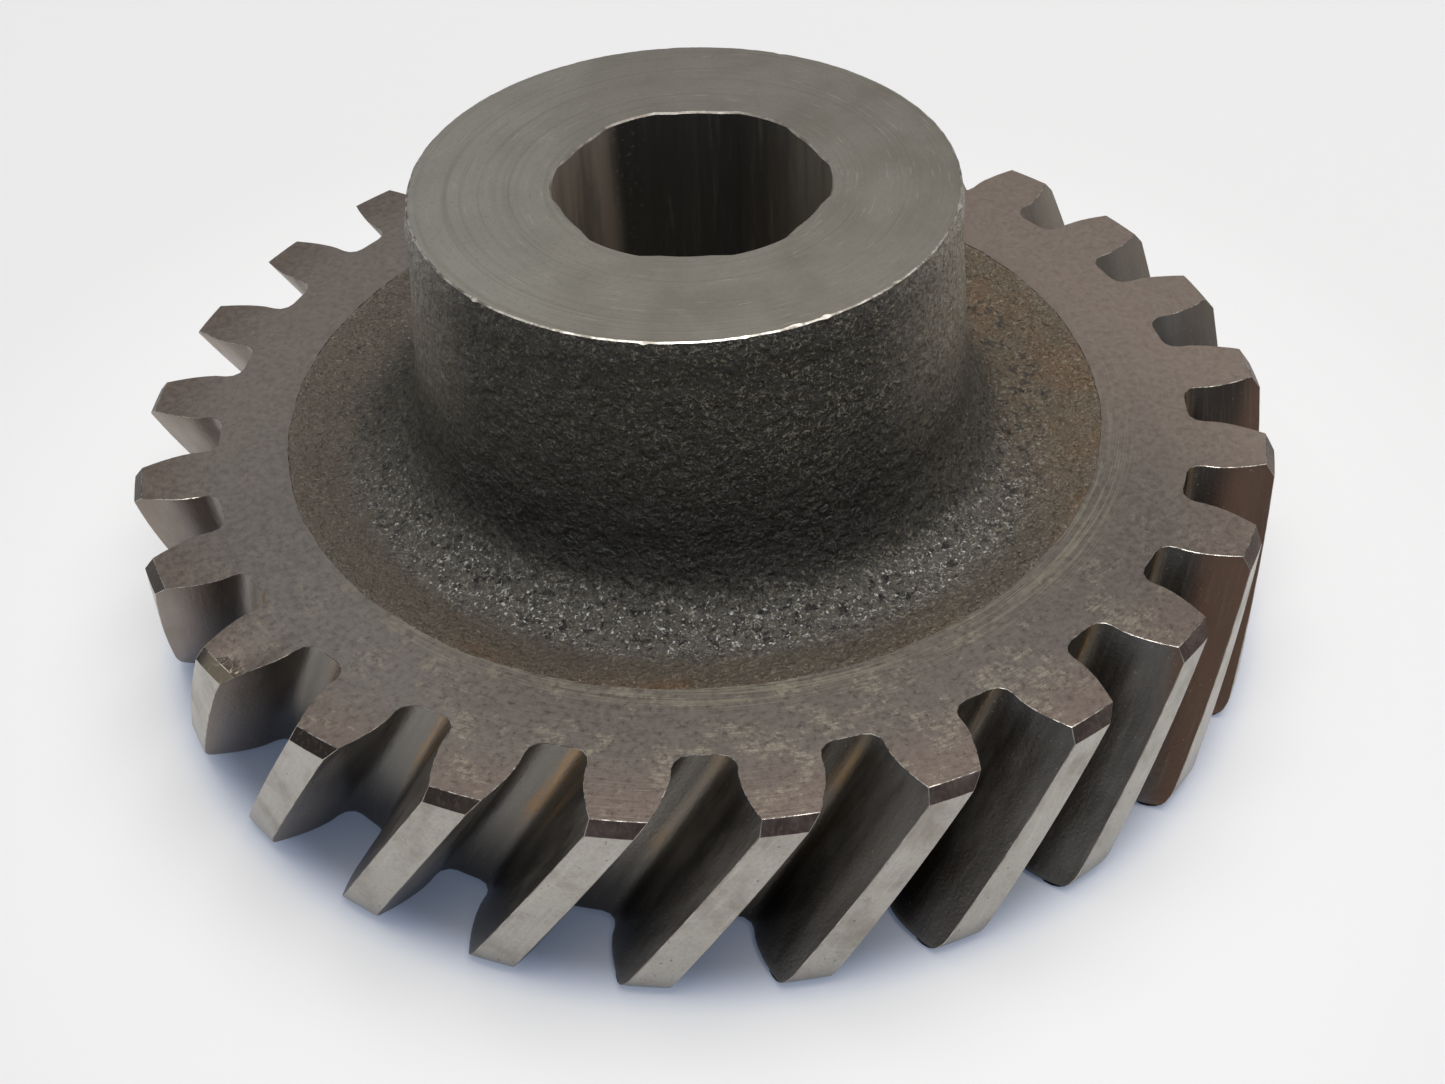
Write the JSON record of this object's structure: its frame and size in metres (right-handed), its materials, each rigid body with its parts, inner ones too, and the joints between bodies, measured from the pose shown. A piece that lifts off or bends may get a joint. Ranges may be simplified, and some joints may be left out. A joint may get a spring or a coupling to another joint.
{
  "type": "helical gear",
  "caption": "Right-hand helical gear with a tapered hub on one side, a dished web and a broached hexagon bore with cut-off corners, for a hexagon shaft.",
  "frame": {"origin": "on the bore axis, in the plane of the flat back face", "axes": "+Z along the bore axis from the back face to the hub's end face; +X square to one flat of the hexagon bore"},
  "size_m": [0.1306, 0.1306, 0.055],
  "materials": {
    "gear_iron": "as-cast web and hub flank, machined faces and teeth"
  },
  "bodies": {
    "root": {"helical_gear": "gear_iron"}
  },
  "joints": []
}
